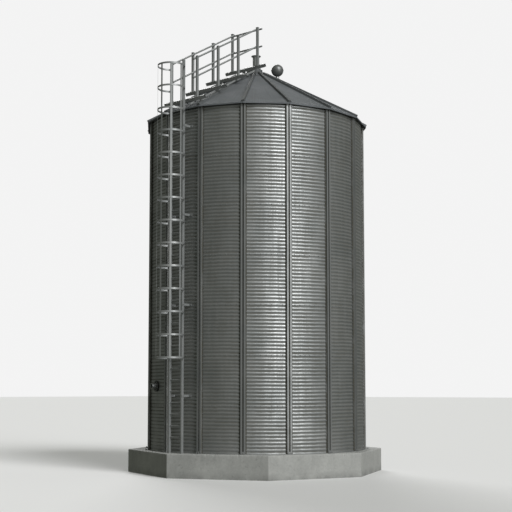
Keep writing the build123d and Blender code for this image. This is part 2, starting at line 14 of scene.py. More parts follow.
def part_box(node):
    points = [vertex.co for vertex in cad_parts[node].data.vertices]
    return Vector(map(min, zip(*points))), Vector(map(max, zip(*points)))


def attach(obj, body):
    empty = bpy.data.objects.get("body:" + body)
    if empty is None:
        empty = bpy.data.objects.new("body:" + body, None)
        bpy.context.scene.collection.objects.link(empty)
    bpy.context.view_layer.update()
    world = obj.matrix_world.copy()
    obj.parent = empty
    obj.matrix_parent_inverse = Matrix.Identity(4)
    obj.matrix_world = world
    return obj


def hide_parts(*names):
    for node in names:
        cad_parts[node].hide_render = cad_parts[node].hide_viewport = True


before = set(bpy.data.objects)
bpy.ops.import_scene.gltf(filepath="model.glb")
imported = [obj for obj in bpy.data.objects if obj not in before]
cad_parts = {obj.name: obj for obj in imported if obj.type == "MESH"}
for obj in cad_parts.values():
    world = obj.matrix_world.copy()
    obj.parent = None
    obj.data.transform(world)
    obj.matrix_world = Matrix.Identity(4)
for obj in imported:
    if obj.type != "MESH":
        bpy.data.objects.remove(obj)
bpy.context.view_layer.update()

bl_info = {
    "name": "Corrugated grain silo",
    "version": (1, 0, 0),
    "blender": (4, 5, 0),
    "location": "View3D > Sidebar > Silo",
    "description": "Sheets, fasteners, concrete, finishes and a stage for a corrugated grain silo",
    "category": "Add Mesh",
}

BODY = "root"

# Bays: a wall panel, a roof panel and a post for each
BAY_COUNT = 16
BAY_ANGLE = 360 / BAY_COUNT
HALF_BAY = BAY_ANGLE / 2
HALF_BAY_COS = cos(radians(HALF_BAY))
JOINT_AZIMUTHS = [HALF_BAY + BAY_ANGLE * k for k in range(BAY_COUNT)]
PORT_AZIMUTH = -BAY_ANGLE

# Sizes read from the frame
WALL_LOW, WALL_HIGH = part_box("wall_panel_01")
WALL_RADIUS = -WALL_LOW.y
WALL_BOTTOM, WALL_TOP = WALL_LOW.z, WALL_HIGH.z
POST_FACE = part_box("stiffener_posts")[1].x / HALF_BAY_COS
SHOE_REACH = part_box("anchor_shoes")[1].x / HALF_BAY_COS
BASE_LOW, BASE_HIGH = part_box("concrete_base")
BASE_HEIGHT = BASE_HIGH.z
PORT_LOW, PORT_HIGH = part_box("port_flange")
PORT_HEIGHT = (PORT_LOW.z + PORT_HIGH.z) / 2
ROOF_LOW, ROOF_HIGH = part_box("roof_front_right")
RAIL_LOW, RAIL_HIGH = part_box("ladder_rails")
RUNG_LOW, RUNG_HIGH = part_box("ladder_rungs")
BRACKET_LOW, BRACKET_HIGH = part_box("ladder_brackets")
HOOP_LOW, HOOP_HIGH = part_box("cage_hoops_front")
HOOP_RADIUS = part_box("cage_hoops_right")[1].x
TREAD_LOW, TREAD_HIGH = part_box("stair_treads")
BEARER_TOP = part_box("stair_bearers")[1].z
HANDRAIL_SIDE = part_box("handrails_right")[1].x
HANDRAIL_POST_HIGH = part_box("handrail_posts")[1]
BALL_LOW, BALL_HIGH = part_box("vent_ball")

# Sizes of the solids that their boxes don't tell
POST_FLANGE_MIDDLE = 0.083
POST_FLANGE_EDGE = 0.093
POST_FLANGE_FACE = 0.0043
SHOE_FOOT_THICKNESS = 0.008
ROOF_PITCH = radians(29)
EAVE_LIP = 0.038
RIB_HALF_WIDTH = 0.048
RUNG_PITCH = 0.3
BRACKET_COUNT = 4
BRACKET_THICKNESS = 0.008
BRACKET_HEIGHT = 0.06
HOOP_COUNT = 14
HOOP_HEIGHT = 0.05
HOOP_THICKNESS = 0.006
STRIP_COUNT = 5
TREAD_COUNT = 9
TREAD_DEPTH = 0.076
TREAD_LIP = 0.016
TREAD_SHEET = 0.004
BEARER_HALF_WIDTH = 0.035
HANDRAIL_RADIUS = 0.024
HANDRAIL_DROPS = (0.05, 0.56)
HANDRAIL_POST_RADII = (3.02, 2.18, 1.34, 0.5)
PORT_FLANGE_THICKNESS = 0.026

# Places worked out from both
EAVE_RADIUS = ROOF_HIGH.x / HALF_BAY_COS
PEAK_HEIGHT = ROOF_LOW.z + EAVE_LIP + EAVE_RADIUS * tan(ROOF_PITCH)
FACET_RISE = tan(ROOF_PITCH) / HALF_BAY_COS
FACET_PITCH = atan(FACET_RISE)
RAIL_Y = (RAIL_LOW.y + RAIL_HIGH.y) / 2
HOOP_CENTRE_Y = HOOP_LOW.y + HOOP_RADIUS

# Widths of the bolts' heads, over their corners
WALL_BOLT = 0.016
POST_BOLT = 0.015
ANCHOR_BOLT = 0.026
ROOF_SCREW = 0.013
BALL_SCREW = 0.009
BRACKET_WALL_BOLT = 0.022
BRACKET_RAIL_BOLT = 0.018
HOOP_BOLT = 0.015
CLAMP_BOLT = 0.016
BEARER_BOLT = 0.02
PORT_BOLT = 0.02


# Settings


class SheetSettings(PropertyGroup):
    """Sizes of the corrugated sheets."""

    wave_pitch: FloatProperty(
        name="Wave pitch", description="Height of one wave of the sheet", default=0.0942, unit="LENGTH"
    )
    wave_depth: FloatProperty(
        name="Wave depth", description="From crest to trough", default=0.012, unit="LENGTH"
    )
    thickness: FloatProperty(
        name="Sheet thickness", description="Thickness of one sheet", default=0.0015, unit="LENGTH"
    )
    tier_waves: IntProperty(
        name="Waves in a tier", description="Waves from one lap to the next", default=14, min=4
    )
    lap_step: FloatProperty(
        name="Lap step", description="How far an upper sheet stands over a lower one", default=0.0025,
        unit="LENGTH",
    )


class FinishSettings(PropertyGroup):
    """Colours of the silo's finishes."""

    zinc_light: FloatVectorProperty(
        name="Zinc, light", description="Clean galvanised steel", default=(0.42, 0.43, 0.43),
        subtype="COLOR", min=0, max=1,
    )
    zinc_dark: FloatVectorProperty(
        name="Zinc, dark", description="Dulled galvanised steel", default=(0.292, 0.31, 0.312),
        subtype="COLOR", min=0, max=1,
    )
    # Brown of the rain soiling, which is also painted into the recesses as shade
    grime_and_shade: FloatVectorProperty(
        name="Grime", description="Brown dirt that rain leaves", default=(0.078, 0.076, 0.062),
        subtype="COLOR", min=0, max=1,
    )
    dust: FloatVectorProperty(
        name="Dust", description="Pale grain dust on level faces", default=(0.30, 0.285, 0.25),
        subtype="COLOR", min=0, max=1,
    )
    concrete_light: FloatVectorProperty(
        name="Concrete, light", description="Dry cement skin", default=(0.40, 0.405, 0.39),
        subtype="COLOR", min=0, max=1,
    )
    concrete_dark: FloatVectorProperty(
        name="Concrete, dark", description="Damp cement skin", default=(0.27, 0.275, 0.265),
        subtype="COLOR", min=0, max=1,
    )
    rubber: FloatVectorProperty(
        name="Rubber", description="Sealing ring of the outlet port", default=(0.018, 0.018, 0.018),
        subtype="COLOR", min=0, max=1,
    )


class StageSettings(PropertyGroup):
    """Camera and lights."""

    camera_azimuth: FloatProperty(
        name="Camera azimuth", description="Where the camera stands", default=radians(40), subtype="ANGLE"
    )
    camera_distance: FloatProperty(
        name="Camera distance", description="From the silo's axis", default=31.71, unit="LENGTH"
    )
    camera_height: FloatProperty(
        name="Camera height", description="Above the ground", default=2.27, unit="LENGTH"
    )
    camera_pitch: FloatProperty(
        name="Camera pitch", description="Upward tilt", default=radians(4.7), subtype="ANGLE"
    )
    camera_lens: FloatProperty(name="Lens", description="Focal length", default=77.8, unit="CAMERA")
    camera_shift: FloatProperty(
        name="Vertical shift", description="Small rise of the frame", default=0.085
    )
    key_azimuth: FloatProperty(
        name="Key azimuth", description="Where the main light stands", default=radians(75), subtype="ANGLE"
    )
    key_elevation: FloatProperty(
        name="Key elevation", description="Height of the main light", default=radians(38), subtype="ANGLE"
    )
    key_power: FloatProperty(name="Key power", description="Strength of the main light", default=2.2)
    low_power: FloatProperty(
        name="Low power", description="Strength of the low light under the main one", default=0.8
    )
    fill_power: FloatProperty(name="Fill power", description="Strength of the light behind", default=1.5)
    sky_light: FloatProperty(name="Sky light", description="Strength of the even light", default=0.165)


# Shapes


def upright(height):
    """The vector that stands straight up."""
    return Vector((0, 0, height))


def outward(azimuth):
    """The level unit vector that points away from the axis at an azimuth."""
    angle = radians(azimuth - 90)
    return Vector((cos(angle), sin(angle), 0))


def beside(azimuth, radius, side, height):
    """A point on the level line at an azimuth, moved to the side towards greater azimuths."""
    return outward(azimuth) * radius + outward(azimuth + 90) * side + upright(height)


def on_roof(azimuth, radius, side=0.0):
    """A point on the flat roof panel that faces an azimuth."""
    return beside(azimuth, radius, side, PEAK_HEIGHT - radius * FACET_RISE)


def roof_normal(azimuth):
    """The normal of the roof panel that faces an azimuth."""
    return outward(azimuth) * sin(FACET_PITCH) + upright(cos(FACET_PITCH))


def spread(low, high, count):
    """Evenly spaced values from one to the other, both kept."""
    return [low + (high - low) * k / (count - 1) for k in range(count)]


def seated(point, normal, turn=0):
    """A place whose local Z is a normal, turned about it by an angle."""
    facing = Vector(normal).to_track_quat("Z", "Y").to_matrix().to_4x4()
    return Matrix.Translation(point) @ facing @ Matrix.Rotation(turn, 4, "Z")


def add_object(name, data):
    """Adds an object to the scene."""
    made = bpy.data.objects.new(name, data)
    bpy.context.scene.collection.objects.link(made)
    return made


class Shape:
    """Points and faces of one piece, gathered part by part."""

    def __init__(self):
        self.points = []
        self.faces = []

    def add(self, points, faces, place=None):
        """Adds a part, at a place if one is given."""
        first = len(self.points)
        if place is not None:
            points = [place @ Vector(point) for point in points]
        self.points.extend(tuple(point) for point in points)
        self.faces.extend(tuple(first + index for index in face) for face in faces)

    def add_bolt(self, point, normal, size, turn=0):
        """Sets a hexagon head on a round washer on a face. Size is the head's width over its corners."""
        place = seated(point, normal, turn)
        washer_face = 0.12 * size
        head = [(size / 2, washer_face), (size / 2, 0.62 * size), (0.4 * size, 0.7 * size)]
        washer = [(0.78 * size, -0.1 * size), (0.78 * size, washer_face), (0.6 * size, 0.2 * size)]
        self.add(*turned(head, 6), place)
        self.add(*turned(washer, 10), place)

    def piece(self, name, finish, slot, replaces=(), smooth=0.7):
        """Makes the object in a finish. It rides on the silo's body."""
        mesh = bpy.data.meshes.new(name)
        mesh.from_pydata(self.points, [], self.faces)
        mesh.validate()
        mesh.shade_smooth()
        mesh.set_sharp_from_angle(angle=smooth)
        mesh.materials.append(bpy.data.materials[finish])
        made = add_object(name, mesh)
        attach(made, BODY)
        if replaces:
            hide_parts(*replaces)


def wrapped(rows, sides, ring=False):
    """Faces between rows of points that each go once round. As a ring, the last row meets the first."""
    faces = []
    for row in range(rows if ring else rows - 1):
        low, high = row * sides, (row + 1) % rows * sides
        for k in range(sides):
            after = (k + 1) % sides
            faces.append((low + k, low + after, high + after, high + k))
    return faces


def turned(profile, sides, ring=False):
    """A turned solid, from (radius, height) pairs that run from its low end to its high end.

    As a ring, the pairs are a closed outline instead, anticlockwise.
    """
    points = [
        (radius * cos(2 * pi * k / sides), radius * sin(2 * pi * k / sides), height)
        for radius, height in profile
        for k in range(sides)
    ]
    faces = wrapped(len(profile), sides, ring)
    if not ring:
        faces.append(tuple(reversed(range(sides))))
        faces.append(tuple(range(len(points) - sides, len(points))))
    return points, faces


def bent_bar(path, height, thickness, ease):
    """A flat bar on edge that follows a level path, with eased edges."""
    half, tall = thickness / 2, height / 2
    section = [
        (half, ease - tall), (half, tall - ease), (half - ease, tall), (ease - half, tall),
        (-half, tall - ease), (-half, ease - tall), (ease - half, -tall), (half - ease, -tall),
    ]
    sides = len(section)
    points = []
    for place, point in enumerate(path):
        ahead = path[min(place + 1, len(path) - 1)] - path[max(place - 1, 0)]
        normal = Vector((ahead.y, -ahead.x, 0)).normalized()
        points.extend(tuple(point + normal * across + upright(rise)) for across, rise in section)
    faces = [tuple(range(sides)), tuple(reversed(range(len(points) - sides, len(points))))]
    for start in range(0, len(points) - sides, sides):
        for k in range(sides):
            after = (k + 1) % sides
            faces.append((start + k, start + sides + k, start + sides + after, start + after))
    return points, faces


def block(width, depth, height):
    """A block centred on the origin."""
    x, y, z = width / 2, depth / 2, height / 2
    points = [(a * x, b * y, c * z) for c in (-1, 1) for b in (-1, 1) for a in (-1, 1)]
    faces = [(0, 2, 3, 1), (4, 5, 7, 6), (0, 1, 5, 4), (2, 6, 7, 3), (0, 4, 6, 2), (1, 3, 7, 5)]
    return points, faces


# Node groups and materials


def wire(tree, kind, inputs=None, **settings):
    """Adds a node. Inputs maps a socket to a value, or to another node's output."""
    made = tree.nodes.new(kind)
    for key, value in settings.items():
        setattr(made, key, value)
    for key, value in (inputs or {}).items():
        if isinstance(value, NodeSocket):
            tree.links.new(value, made.inputs[key])
        else:
            made.inputs[key].default_value = value
    return made


def math_node(tree, operation, *values, clamp=False):
    """Adds a math node and returns its output."""
    inputs = dict(enumerate(values))
    return wire(tree, "ShaderNodeMath", inputs, operation=operation, use_clamp=clamp).outputs[0]


def times(tree, first, second, clamp=False):
    """One value times the other."""
    return math_node(tree, "MULTIPLY", first, second, clamp=clamp)


def weighed(tree, first, first_weight, second, second_weight):
    """The sum of two values, each times its weight."""
    return math_node(tree, "ADD", times(tree, first, first_weight), times(tree, second, second_weight))


def blend_colour(tree, factor, first, second):
    """Mixes two colours and returns the result."""
    mixed = wire(tree, "ShaderNodeMix", data_type="RGBA", blend_type="MIX", clamp_factor=True)
    for socket, value in ((mixed.inputs[0], factor), (mixed.inputs[6], first), (mixed.inputs[7], second)):
        if isinstance(value, NodeSocket):
            tree.links.new(value, socket)
        else:
            socket.default_value = (*value, 1)
    return mixed.outputs[2]


def layered(tree, colour, *layers):
    """Lays (mask, colour) pairs over a colour, one after another."""
    for mask, paint in layers:
        colour = blend_colour(tree, mask, colour, paint)
    return colour


def remap(tree, value, low, high, to_low=0.0, to_high=1.0):
    """Maps a range of values to another, held at its ends."""
    inputs = {0: value, 1: low, 2: high, 3: to_low, 4: to_high}
    return wire(tree, "ShaderNodeMapRange", inputs).outputs[0]


def cloud(tree, vector, scale, detail=3.0, roughness=0.55):
    """A noise value."""
    inputs = {"Vector": vector, "Scale": scale, "Detail": detail, "Roughness": roughness}
    return wire(tree, "ShaderNodeTexNoise", inputs).outputs[0]


def shaded(colour, share):
    """A colour made darker or lighter."""
    return [share * channel for channel in colour]


def new_group(name, inputs, outputs):
    """Starts a node group. Inputs and outputs are (name, socket type) rows, some with a default."""
    tree = bpy.data.node_groups.new(name, "ShaderNodeTree")
    for direction, rows in (("INPUT", inputs), ("OUTPUT", outputs)):
        for label, kind, *default in rows:
            socket = tree.interface.new_socket(label, in_out=direction, socket_type="NodeSocket" + kind)
            if default:
                socket.default_value = default[0]
    return tree, tree.nodes.new("NodeGroupInput").outputs, tree.nodes.new("NodeGroupOutput").inputs


def use_group(tree, name, inputs):
    """Places a node group and returns its outputs."""
    placed = tree.nodes.new("ShaderNodeGroup")
    placed.node_tree = bpy.data.node_groups[name]
    for key, value in inputs.items():
        if isinstance(value, NodeSocket):
            tree.links.new(value, placed.inputs[key])
        elif isinstance(value, (int, float)):
            placed.inputs[key].default_value = value
        else:
            placed.inputs[key].default_value = (*value, 1)
    return placed.outputs


def build_silo_place():
    """Where a point lies on the silo: the way round at the wall, the way out and the way up."""
    outputs = [("Around", "Float"), ("Out", "Float"), ("Up", "Float")]
    tree, taken, given = new_group("silo_place", [("Vector", "Vector")], outputs)
    # The angle starts anew behind a post, where the jump doesn't show
    to_a_post = {"Vector": taken["Vector"], "Angle": radians(HALF_BAY)}
    turned_about = wire(tree, "ShaderNodeVectorRotate", to_a_post, rotation_type="Z_AXIS")
    axes = wire(tree, "ShaderNodeSeparateXYZ", {0: turned_about.outputs[0]}).outputs
    angle = math_node(tree, "ARCTAN2", axes[1], axes[0])
    squares = [math_node(tree, "POWER", axes[k], 2.0) for k in (0, 1)]
    tree.links.new(times(tree, angle, WALL_RADIUS), given["Around"])
    tree.links.new(math_node(tree, "SQRT", math_node(tree, "ADD", *squares)), given["Out"])
    tree.links.new(axes[2], given["Up"])


def build_zinc_mottle():
    """Soft patches and fine spangle of galvanised steel."""
    tree, taken, given = new_group(
        "zinc_mottle",
        [
            ("Vector", "Vector"), ("Patch Scale", "Float", 1.5), ("Spangle Scale", "Float", 60.0),
            ("Light", "Color", (0.4, 0.4, 0.4, 1)), ("Dark", "Color", (0.3, 0.3, 0.3, 1)),
        ],
        [("Colour", "Color"), ("Dullness", "Float")],
    )
    patches = cloud(tree, taken["Vector"], taken["Patch Scale"], detail=4.0)
    cells = {"Vector": taken["Vector"], "Scale": taken["Spangle Scale"]}
    spangle = wire(tree, "ShaderNodeTexVoronoi", cells).outputs["Color"]
    grey = wire(tree, "ShaderNodeSeparateColor", {0: spangle}).outputs[0]
    dullness = remap(tree, weighed(tree, patches, 0.8, grey, 0.2), 0.3, 0.7)
    tree.links.new(blend_colour(tree, dullness, taken["Light"], taken["Dark"]), given["Colour"])
    tree.links.new(dullness, given["Dullness"])


def build_rain_streaks():
    """Streaks that run down a face."""
    tree, taken, given = new_group(
        "rain_streaks",
        [
            ("Across", "Float", 0.0), ("Along", "Float", 0.0),
            ("Width", "Float", 0.06), ("Length", "Float", 1.5),
        ],
        [("Mask", "Float")],
    )
    across = math_node(tree, "DIVIDE", taken["Across"], taken["Width"])
    along = math_node(tree, "DIVIDE", taken["Along"], taken["Length"])
    vector = wire(tree, "ShaderNodeCombineXYZ", {0: across, 1: along}).outputs[0]
    streaks = cloud(tree, vector, 1.0, detail=4.0, roughness=0.6)
    tree.links.new(remap(tree, streaks, 0.46, 0.72), given["Mask"])


def build_settled_dust():
    """Dust on faces that look up."""
    tree, taken, given = new_group(
        "settled_dust",
        [("Vector", "Vector"), ("Scale", "Float", 4.0), ("Amount", "Float", 0.5)],
        [("Mask", "Float")],
    )
    facing = wire(tree, "ShaderNodeNewGeometry").outputs["Normal"]
    rise = wire(tree, "ShaderNodeSeparateXYZ", {0: facing}).outputs[2]
    level = remap(tree, rise, 0.35, 1.0)
    patches = remap(tree, cloud(tree, taken["Vector"], taken["Scale"], detail=5.0), 0.3, 0.7)
    lying = times(tree, level, patches)
    tree.links.new(times(tree, lying, taken["Amount"], clamp=True), given["Mask"])


def build_ground_splash():
    """Dirt that rain throws up at the foot of the silo."""
    tree, taken, given = new_group(
        "ground_splash",
        [("Vector", "Vector"), ("Up", "Float", 0.0), ("From", "Float", 0.6), ("To", "Float", 1.4)],
        [("Mask", "Float")],
    )
    low = remap(tree, taken["Up"], taken["From"], taken["To"], 1.0, 0.0)
    patches = remap(tree, cloud(tree, taken["Vector"], 3.0, detail=6.0), 0.3, 0.75)
    tree.links.new(times(tree, low, patches, clamp=True), given["Mask"])


def start_finish(name):
    """Starts a material. Returns its nodes and its coordinates, in the silo's own metres."""
    material = bpy.data.materials.new(name)
    material.use_nodes = True
    tree = material.node_tree
    return tree, wire(tree, "ShaderNodeTexCoord").outputs["Object"]


def end_finish(tree, looks, grain, strength, distance):
    """Feeds the shader's sockets, with the grain as a bump of a strength and a distance in metres."""
    bump = wire(tree, "ShaderNodeBump", {"Strength": strength, "Distance": distance, "Height": grain})
    for socket, output in {**looks, "Normal": bump.outputs[0]}.items():
        tree.links.new(output, tree.nodes["Principled BSDF"].inputs[socket])


def sheet_tone(tree, place, tier_height):
    """A darkening of its own for each sheet of each bay."""
    bays = math_node(tree, "DIVIDE", place["Around"], WALL_RADIUS * radians(BAY_ANGLE))
    raised = math_node(tree, "SUBTRACT", place["Up"], WALL_BOTTOM)
    tiers = math_node(tree, "DIVIDE", raised, tier_height)
    cell = {0: math_node(tree, "FLOOR", bays), 1: math_node(tree, "FLOOR", tiers)}
    vector = wire(tree, "ShaderNodeCombineXYZ", cell).outputs[0]
    tone = wire(tree, "ShaderNodeTexWhiteNoise", {"Vector": vector}, noise_dimensions="3D").outputs[0]
    return remap(tree, tone, 0.0, 1.0, 0.0, 0.16)


def zinc_finish(
    name, shade=1.0, tint=(1.0, 1.0, 1.0), metallic=0.9, smooth=0.38, dull=0.52, streaks=0.35,
    down_slope=False, dust=0.35, splash=0.5, grain_strength=0.06, painted_hollow_shade=None, tier_height=0.0,
):
    """A galvanised steel finish, with rain streaks, dust, splashed soiling, and painted shade with some
    soiling in its recesses.

    Smooth and dull are the roughness where the zinc is clean and where it is dulled. The painted hollow
    shade is given as the recesses' radius, the radius where they end, and the amount of painted shade in
    them, a darkening that stands in for the shade that falls there, with some soiling. With a tier height,
    each sheet of each bay has a tone of its own.
    """
    finish = bpy.context.scene.silo_finish
    tree, coordinates = start_finish(name)
    place = use_group(tree, "silo_place", {"Vector": coordinates})
    mottle = use_group(tree, "zinc_mottle", {
        "Vector": coordinates,
        "Patch Scale": 1.2,
        "Spangle Scale": 55.0,
        "Light": [shade * t * c for t, c in zip(tint, finish.zinc_light)],
        "Dark": [shade * t * c for t, c in zip(tint, finish.zinc_dark)],
    })
    streak = use_group(tree, "rain_streaks", {
        "Across": place["Around"],
        "Along": place["Out"] if down_slope else place["Up"],
        "Width": 0.05,
        "Length": 1.6,
    })
    lying = use_group(tree, "settled_dust", {"Vector": coordinates, "Amount": dust})["Mask"]
    thrown = use_group(tree, "ground_splash", {
        "Vector": coordinates, "Up": place["Up"], "From": BASE_HEIGHT, "To": BASE_HEIGHT + 1.1,
    })
    streaked = times(tree, streak["Mask"], streaks)
    dirt_and_shade = math_node(tree, "MAXIMUM", streaked, times(tree, thrown["Mask"], splash))
    # Painted shade: the recesses' floors are darkened in the brown soiling colour, a dark line that stands
    # in for the shade falling there, mixed with some soiling
    if painted_hollow_shade:
        floor_radius, end_radius, amount = painted_hollow_shade
        shade_in_hollow = remap(tree, place["Out"], floor_radius, end_radius, amount, 0.0)
        patchy = remap(tree, cloud(tree, coordinates, 2.3, detail=5.0), 0.3, 0.6, 0.45, 1.0)
        dirt_and_shade = math_node(tree, "MAXIMUM", dirt_and_shade, times(tree, shade_in_hollow, patchy))
    colour = mottle["Colour"]
    if tier_height:
        duller = shaded(finish.zinc_dark, 0.5 * shade)
        colour = blend_colour(tree, sheet_tone(tree, place, tier_height), colour, duller)
    # The brown colour covers the rain soiling and the painted shade of the recesses, and dust lies over it
    colour = layered(tree, colour, (dirt_and_shade, finish.grime_and_shade), (lying, finish.dust))
    cover = math_node(tree, "MAXIMUM", dirt_and_shade, lying)
    roughness = remap(tree, mottle["Dullness"], 0.0, 1.0, smooth, dull)
    roughness = math_node(tree, "ADD", roughness, times(tree, cover, 0.3))
    bare = math_node(tree, "SUBTRACT", 1.0, cover, clamp=True)
    looks = {
        "Base Color": colour,
        "Roughness": remap(tree, roughness, 0.0, 1.0),
        "Metallic": times(tree, bare, metallic),
    }
    end_finish(tree, looks, cloud(tree, coordinates, 140.0, detail=2.0), grain_strength, 0.002)


def concrete_finish():
    """Cast concrete with speckle, damp patches, stains that run down and pores."""
    finish = bpy.context.scene.silo_finish
    light, dark = finish.concrete_light, finish.concrete_dark
    tree, coordinates = start_finish("cast_concrete")
    place = use_group(tree, "silo_place", {"Vector": coordinates})
    damp = remap(tree, cloud(tree, coordinates, 1.1, 6.0, 0.62), 0.38, 0.66)
    speckle = remap(tree, cloud(tree, coordinates, 17.0, 6.0, 0.75), 0.38, 0.66)
    mixed = weighed(tree, damp, 0.55, speckle, 0.45)
    flecks = remap(tree, cloud(tree, coordinates, 11.0, 7.0, 0.8), 0.585, 0.64, 0.0, 0.55)
    grit = remap(tree, cloud(tree, coordinates, 14.0, 7.0, 0.8), 0.33, 0.4, 0.3, 0.0)
    streak = use_group(tree, "rain_streaks", {
        "Across": place["Around"], "Along": place["Up"], "Width": 0.11, "Length": 0.9,
    })
    below_the_edge = remap(tree, place["Up"], 0.1, BASE_HEIGHT, 0.05, 0.24)
    stained = times(tree, streak["Mask"], below_the_edge)
    thrown = use_group(tree, "ground_splash", {
        "Vector": coordinates, "Up": place["Up"], "From": 0.0, "To": 0.2,
    })
    lying = use_group(tree, "settled_dust", {"Vector": coordinates, "Amount": 0.5})
    colour = layered(
        tree, blend_colour(tree, mixed, light, dark),
        (flecks, shaded(dark, 0.5)), (grit, shaded(light, 1.3)), (stained, shaded(dark, 0.45)),
        (thrown["Mask"], shaded(dark, 0.6)), (lying["Mask"], shaded(light, 1.15)),
    )
    cells = {"Vector": coordinates, "Scale": 38.0}
    pores = wire(tree, "ShaderNodeTexVoronoi", cells, feature="F1").outputs["Distance"]
    pits = remap(tree, pores, 0.05, 0.16)
    rough = cloud(tree, coordinates, 90.0, 4.0, 0.7)
    looks = {"Base Color": colour, "Roughness": remap(tree, mixed, 0.0, 1.0, 0.95, 0.8)}
    end_finish(tree, looks, weighed(tree, pits, 0.7, rough, 0.5), 0.5, 0.004)


def rubber_finish():
    """Matte black rubber, greyed by dust."""
    finish = bpy.context.scene.silo_finish
    tree, coordinates = start_finish("sealing_rubber")
    lying = use_group(tree, "settled_dust", {"Vector": coordinates, "Scale": 30.0, "Amount": 0.5})
    chalk = remap(tree, cloud(tree, coordinates, 45.0, detail=5.0), 0.45, 0.8, 0.0, 0.35)
    cover = math_node(tree, "MAXIMUM", lying["Mask"], chalk)
    looks = {
        "Base Color": blend_colour(tree, cover, finish.rubber, shaded(finish.dust, 0.35)),
        "Roughness": remap(tree, cover, 0.0, 1.0, 0.62, 0.9),
    }
    end_finish(tree, looks, cloud(tree, coordinates, 220.0), 0.2, 0.001)


def dress(finish, *names):
    """Gives CAD nodes a finish."""
    for name in names:
        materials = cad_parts[name].data.materials
        materials.clear()
        materials.append(bpy.data.materials[finish])


# Operators


class SILO_OT_finishes(Operator):
    """Makes the node groups and the finishes of every part"""

    bl_idname = "silo.finishes"
    bl_label = "Finishes"

    def execute(self, context):
        build_silo_place()
        build_zinc_mottle()
        build_rain_streaks()
        build_settled_dust()
        build_ground_splash()
        sheet = context.scene.silo_sheet
        # Painted shade: a narrow dark line along each trough's floor, fading out over the lowest third of
        # the wave's depth
        trough_radius = WALL_RADIUS - sheet.wave_depth
        zinc_finish(
            "wall_zinc", shade=0.95, metallic=0.97, smooth=0.43, dull=0.52, streaks=0.25,
            grain_strength=0.025, painted_hollow_shade=(trough_radius, trough_radius + 0.3 * sheet.wave_depth, 0.8),
            tier_height=sheet.tier_waves * fitted_waves(sheet)[1],
        )
        # Painted shade: the posts' flanges and groove are darkened, and their zinc is darker than the
        # wall's, partly as painted shade of the grooves
        zinc_finish(
            "post_zinc", shade=0.76, smooth=0.46, dull=0.56, streaks=0.25,
            painted_hollow_shade=(WALL_RADIUS + 0.008, POST_FACE - 0.008, 1.3),
        )
        zinc_finish("structure_zinc", shade=0.75, smooth=0.5, dull=0.65)
        zinc_finish(
            "roof_zinc", shade=0.345, tint=(1.0, 1.05, 1.13), metallic=0.12, smooth=0.72, dull=0.85,
            down_slope=True, splash=0.0, streaks=0.3, dust=0.1,
        )
        zinc_finish(
            "rib_zinc", shade=0.27, tint=(1.0, 1.04, 1.08), metallic=0.3, smooth=0.6, dull=0.72,
            down_slope=True, splash=0.0, dust=0.1,
        )
        zinc_finish("spout_zinc", shade=1.1, splash=0.3)
        zinc_finish("vent_zinc", shade=0.55, metallic=0.6, splash=0.0, dust=0.1)
        zinc_finish("ladder_zinc", shade=0.9, metallic=0.6, smooth=0.42, dull=0.55, streaks=0.2)
        zinc_finish(
            "stair_zinc", shade=0.95, metallic=0.55, smooth=0.45, dull=0.6, streaks=0.25, splash=0.0
        )
        zinc_finish("bolt_zinc", shade=0.6, metallic=0.6, smooth=0.45, dull=0.6, streaks=0.2)
        zinc_finish(
            "screw_zinc", shade=0.35, metallic=0.4, smooth=0.5, dull=0.65, dust=0.1, splash=0.0
        )
        zinc_finish("port_steel", shade=0.35, metallic=0.4, smooth=0.5, dull=0.7)
        concrete_finish()
        rubber_finish()
        return {"FINISHED"}


def fitted_waves(sheet):
    """How many whole waves the wall has, and their pitch."""
    waves = round((WALL_TOP - WALL_BOTTOM) / sheet.wave_pitch)
    return waves, (WALL_TOP - WALL_BOTTOM) / waves


def wave_rows(sheet):
    """Heights and outer radii of a panel's rows, from its foot to its top."""
    steps = 8
    waves, pitch = fitted_waves(sheet)
    middle = WALL_RADIUS - sheet.wave_depth / 2
    rows = []
    for step in range(waves * steps + 1):
        wave = step / steps
        height = WALL_BOTTOM + wave * pitch
        radius = middle + sheet.wave_depth / 2 * cos(2 * pi * wave)
        up_the_tier = wave / sheet.tier_waves % 1
        if step and up_the_tier == 0 and step < waves * steps:
            rows.append((height, radius - sheet.lap_step))
        rows.append((height, radius - sheet.lap_step * up_the_tier))
    return rows


